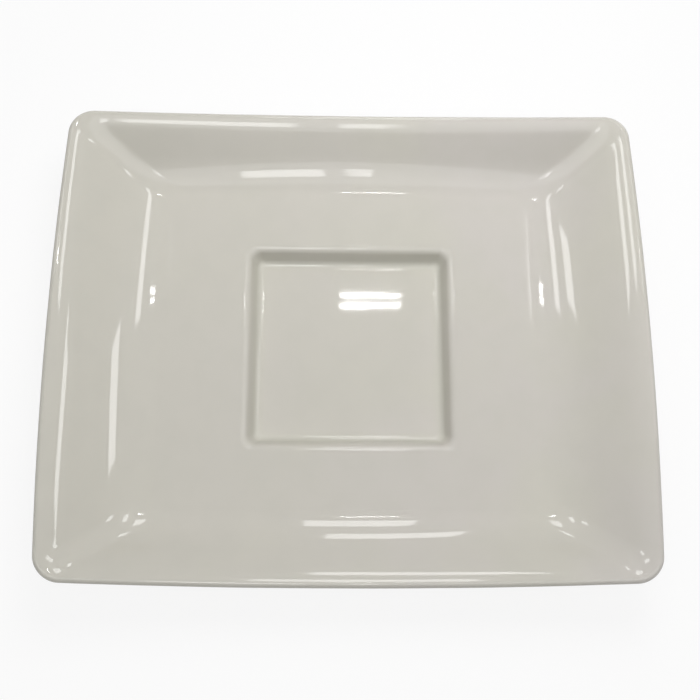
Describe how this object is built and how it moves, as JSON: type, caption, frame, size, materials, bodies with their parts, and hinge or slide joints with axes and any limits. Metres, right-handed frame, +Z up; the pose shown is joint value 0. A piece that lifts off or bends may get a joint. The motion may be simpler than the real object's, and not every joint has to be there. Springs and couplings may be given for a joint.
{
  "type": "rectangular platter",
  "caption": "Rectangular glazed porcelain platter with rounded corners, bowed sides, an upswept rim and a square central well that holds a dip bowl or cup.",
  "frame": {"origin": "centre of the platter on the table, in the plane of the foot ring's standing edge", "axes": "+X along the platter's length, +Y along its width, +Z up out of the face"},
  "size_m": [0.3048, 0.249, 0.0394],
  "materials": {
    "biscuit_porcelain": "unglazed, matt and slightly grainy",
    "ivory_face_glaze": "gloss ivory glaze",
    "ivory_underside_glaze": "gloss ivory glaze, less even than the face"
  },
  "bodies": {
    "root": {"porcelain_body": "biscuit_porcelain", "face_glaze": "ivory_face_glaze", "underside_glaze": "ivory_underside_glaze"}
  },
  "joints": []
}
